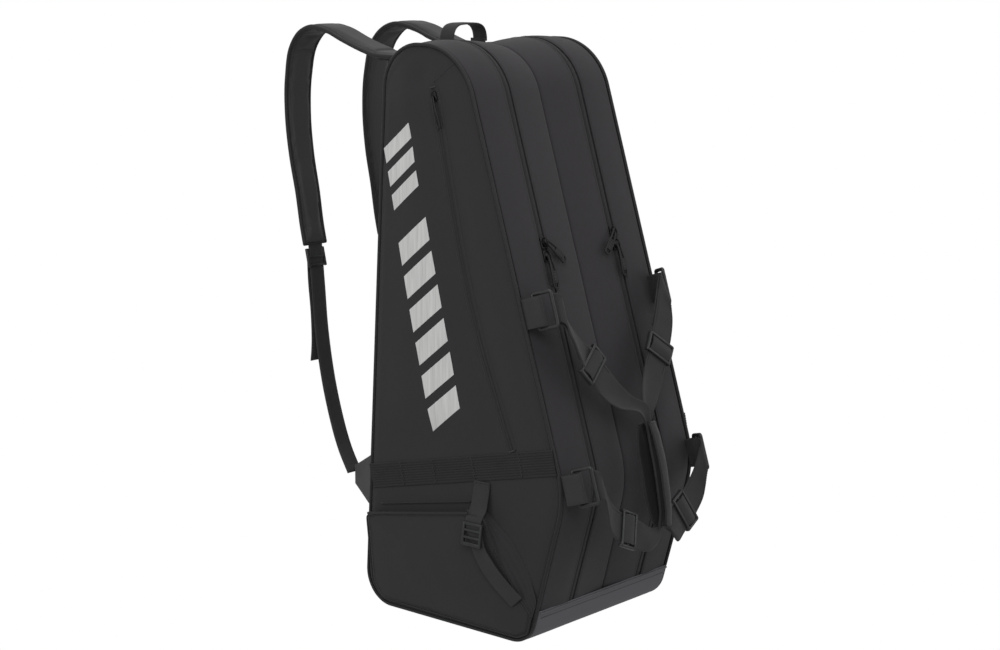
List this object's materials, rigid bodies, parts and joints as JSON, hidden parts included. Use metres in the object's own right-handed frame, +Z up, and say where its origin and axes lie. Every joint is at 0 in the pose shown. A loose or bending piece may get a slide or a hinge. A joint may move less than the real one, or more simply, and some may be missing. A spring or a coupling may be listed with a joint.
{
  "type": "racket tournament bag",
  "caption": "Upright racket tournament bag with two zipped racket compartments, duffel handles joined by a grip wrap, side pockets and padded shoulder straps.",
  "frame": {"origin": "on the floor under the middle of the base, where the bag stands upright", "axes": "+Z up, +Y to the back with the shoulder straps, -Y to the front with the duffel handles, +X to the wearer's right"},
  "size_m": [0.3298, 0.593, 0.7813],
  "materials": {
    "shell_fabric": "matt woven polyester, charcoal",
    "side_fabric": "matt woven polyester, near black",
    "boot_coating": "coated fabric with a fine grain",
    "board": "plain polyethylene board",
    "back_mesh": "padded air mesh",
    "lining": "smooth lining",
    "piping": "ribbed binding over a cord",
    "zip": "nylon coil zip on woven tape",
    "slider": "black enamel",
    "pull_cord": "moulded cord",
    "webbing": "woven nylon webbing",
    "band_ribbing": "ribbed band with bar tacks",
    "wrap_fabric": "padded grip with a pile lining",
    "pad_fabric": "padded strap fabric",
    "hardware": "moulded acetal, satin to gloss",
    "side_print": "brushed silver transfer print"
  },
  "bodies": {
    "core": {"base_boot": "boot_coating", "base_board": "board", "back_panel": "back_mesh", "centre_divider": "lining", "left_inner_gusset": "shell_fabric", "right_inner_gusset": "shell_fabric", "main_zips_inner": "zip", "strap_wings": "shell_fabric", "strap_tabs": "webbing", "haul_tabs": "webbing"},
    "haul_loop": {"haul_loop": "webbing"},
    "left_side": {"left_side_panel": "side_fabric", "left_piping": "piping", "left_outer_gusset": "shell_fabric", "left_zip_outer": "zip", "left_band": "band_ribbing", "left_pocket_front": "side_fabric", "left_pocket_gusset": "side_fabric", "left_pocket_strap": "webbing", "left_side_zip": "zip", "left_handle_anchors": "webbing"},
    "left_handle": {"left_handle_webbing": "webbing", "left_handle_rings": "hardware"},
    "left_shoulder_strap": {"left_shoulder_pad": "pad_fabric", "left_strap_webbing": "webbing", "left_strap_adjuster": "hardware"},
    "left_upper_slider": {"left_upper_slider": "slider"},
    "left_upper_pull": {"left_upper_pull": "pull_cord"},
    "left_lower_slider": {"left_lower_slider": "slider"},
    "left_lower_pull": {"left_lower_pull": "pull_cord"},
    "left_side_slider": {"left_side_slider": "slider"},
    "left_side_pull": {"left_side_pull": "pull_cord"},
    "left_upper_glide": {"left_upper_glide": "hardware"},
    "left_lower_glide": {"left_lower_glide": "hardware"},
    "left_pocket_buckle": {"left_pocket_buckle": "hardware"},
    "right_side": {"right_side_panel": "side_fabric", "right_piping": "piping", "right_outer_gusset": "shell_fabric", "right_zip_outer": "zip", "right_band": "band_ribbing", "right_pocket_front": "side_fabric", "right_pocket_gusset": "side_fabric", "right_pocket_strap": "webbing", "right_side_zip": "zip", "right_handle_anchors": "webbing"},
    "right_handle": {"right_handle_webbing": "webbing", "right_handle_rings": "hardware", "grip_wrap": "wrap_fabric"},
    "right_shoulder_strap": {"right_shoulder_pad": "pad_fabric", "right_strap_webbing": "webbing", "right_strap_adjuster": "hardware"},
    "right_upper_slider": {"right_upper_slider": "slider"},
    "right_upper_pull": {"right_upper_pull": "pull_cord"},
    "right_lower_slider": {"right_lower_slider": "slider"},
    "right_lower_pull": {"right_lower_pull": "pull_cord"},
    "right_side_slider": {"right_side_slider": "slider"},
    "right_side_pull": {"right_side_pull": "pull_cord"},
    "right_upper_glide": {"right_upper_glide": "hardware"},
    "right_lower_glide": {"right_lower_glide": "hardware"},
    "right_pocket_buckle": {"right_pocket_buckle": "hardware"}
  },
  "joints": [
    {"name": "left_side_opening", "type": "hinge", "parent": "core", "child": "left_side", "pos_m": [-0.14, 0.146, 0], "axis": [0, 0.0604, -0.9982], "range_deg": [0, 40]},
    {"name": "right_side_opening", "type": "hinge", "parent": "core", "child": "right_side", "pos_m": [0.14, 0.146, 0], "axis": [0, -0.0604, 0.9982], "range_deg": [0, 40]},
    {"name": "left_upper_slider_travel", "type": "slide", "parent": "core", "child": "left_upper_slider", "axis": [0, 0.294, 0.9558], "range_m": [0, 0.18]},
    {"name": "right_upper_slider_travel", "type": "slide", "parent": "core", "child": "right_upper_slider", "axis": [0, 0.294, 0.9558], "range_m": [0, 0.18]},
    {"name": "left_upper_pull_swing", "type": "hinge", "parent": "left_upper_slider", "child": "left_upper_pull", "pos_m": [-0.071, -0.11833, 0.51421], "axis": [-1, 0, 0], "range_deg": [0, 150]},
    {"name": "right_upper_pull_swing", "type": "hinge", "parent": "right_upper_slider", "child": "right_upper_pull", "pos_m": [0.071, -0.11833, 0.51421], "axis": [-1, 0, 0], "range_deg": [0, 150]},
    {"name": "left_lower_slider_travel", "type": "slide", "parent": "core", "child": "left_lower_slider", "axis": [0, 0.294, 0.9558], "range_m": [-0.25, 0]},
    {"name": "right_lower_slider_travel", "type": "slide", "parent": "core", "child": "right_lower_slider", "axis": [0, 0.294, 0.9558], "range_m": [-0.25, 0]},
    {"name": "left_lower_pull_swing", "type": "hinge", "parent": "left_lower_slider", "child": "left_lower_pull", "pos_m": [-0.071, -0.12333, 0.49796], "axis": [-1, 0, 0], "range_deg": [0, 150]},
    {"name": "right_lower_pull_swing", "type": "hinge", "parent": "right_lower_slider", "child": "right_lower_pull", "pos_m": [0.071, -0.12333, 0.49796], "axis": [-1, 0, 0], "range_deg": [0, 150]},
    {"name": "left_side_slider_travel", "type": "slide", "parent": "left_side", "child": "left_side_slider", "axis": [0, 0.2388, 0.9711], "range_m": [-0.28, 0]},
    {"name": "right_side_slider_travel", "type": "slide", "parent": "right_side", "child": "right_side_slider", "axis": [0, 0.2388, 0.9711], "range_m": [-0.28, 0]},
    {"name": "left_side_pull_swing", "type": "hinge", "parent": "left_side_slider", "child": "left_side_pull", "pos_m": [-0.1469, 0.01061, 0.69529], "axis": [0, 0.9711, -0.2388], "range_deg": [0, 120]},
    {"name": "right_side_pull_swing", "type": "hinge", "parent": "right_side_slider", "child": "right_side_pull", "pos_m": [0.1469, 0.01061, 0.69529], "axis": [0, -0.9711, 0.2388], "range_deg": [0, 120]},
    {"name": "left_handle_swing", "type": "hinge", "parent": "left_side", "child": "left_handle", "pos_m": [-0.128, -0.18289, 0.32506], "axis": [0, -0.294, -0.9558], "range_deg": [-5, 110]},
    {"name": "right_handle_swing", "type": "hinge", "parent": "right_side", "child": "right_handle", "pos_m": [0.128, -0.18289, 0.32506], "axis": [0, 0.294, 0.9558], "range_deg": [-5, 110]},
    {"name": "left_upper_glide_travel", "type": "slide", "parent": "left_handle", "child": "left_upper_glide", "axis": [0.6037, -0.2112, -0.7687], "range_m": [-0.012, 0.012]},
    {"name": "right_upper_glide_travel", "type": "slide", "parent": "right_handle", "child": "right_upper_glide", "axis": [-0.6037, -0.2112, -0.7687], "range_m": [-0.012, 0.012]},
    {"name": "left_lower_glide_travel", "type": "slide", "parent": "left_handle", "child": "left_lower_glide", "axis": [-0.9091, 0.1225, 0.3982], "range_m": [-0.008, 0.008]},
    {"name": "right_lower_glide_travel", "type": "slide", "parent": "right_handle", "child": "right_lower_glide", "axis": [0.9091, 0.1225, 0.3982], "range_m": [-0.008, 0.008]},
    {"name": "left_pocket_buckle_tilt", "type": "hinge", "parent": "left_side", "child": "left_pocket_buckle", "pos_m": [-0.16241, -0.061, 0.15052], "axis": [0, 1, 0], "range_deg": [0, 35]},
    {"name": "right_pocket_buckle_tilt", "type": "hinge", "parent": "right_side", "child": "right_pocket_buckle", "pos_m": [0.16241, -0.061, 0.15052], "axis": [0, -1, 0], "range_deg": [0, 35]},
    {"name": "left_shoulder_strap_swing", "type": "hinge", "parent": "core", "child": "left_shoulder_strap", "pos_m": [-0.084, 0.13, 0.736], "axis": [0.0451, -0.1075, 0.9932], "range_deg": [-12, 60]},
    {"name": "right_shoulder_strap_swing", "type": "hinge", "parent": "core", "child": "right_shoulder_strap", "pos_m": [0.084, 0.13, 0.736], "axis": [0.0451, 0.1075, -0.9932], "range_deg": [-12, 60]},
    {"name": "haul_loop_swing", "type": "hinge", "parent": "core", "child": "haul_loop", "pos_m": [0, 0.086, 0.75581], "axis": [-1, 0, 0], "range_deg": [-25, 70]}
  ]
}
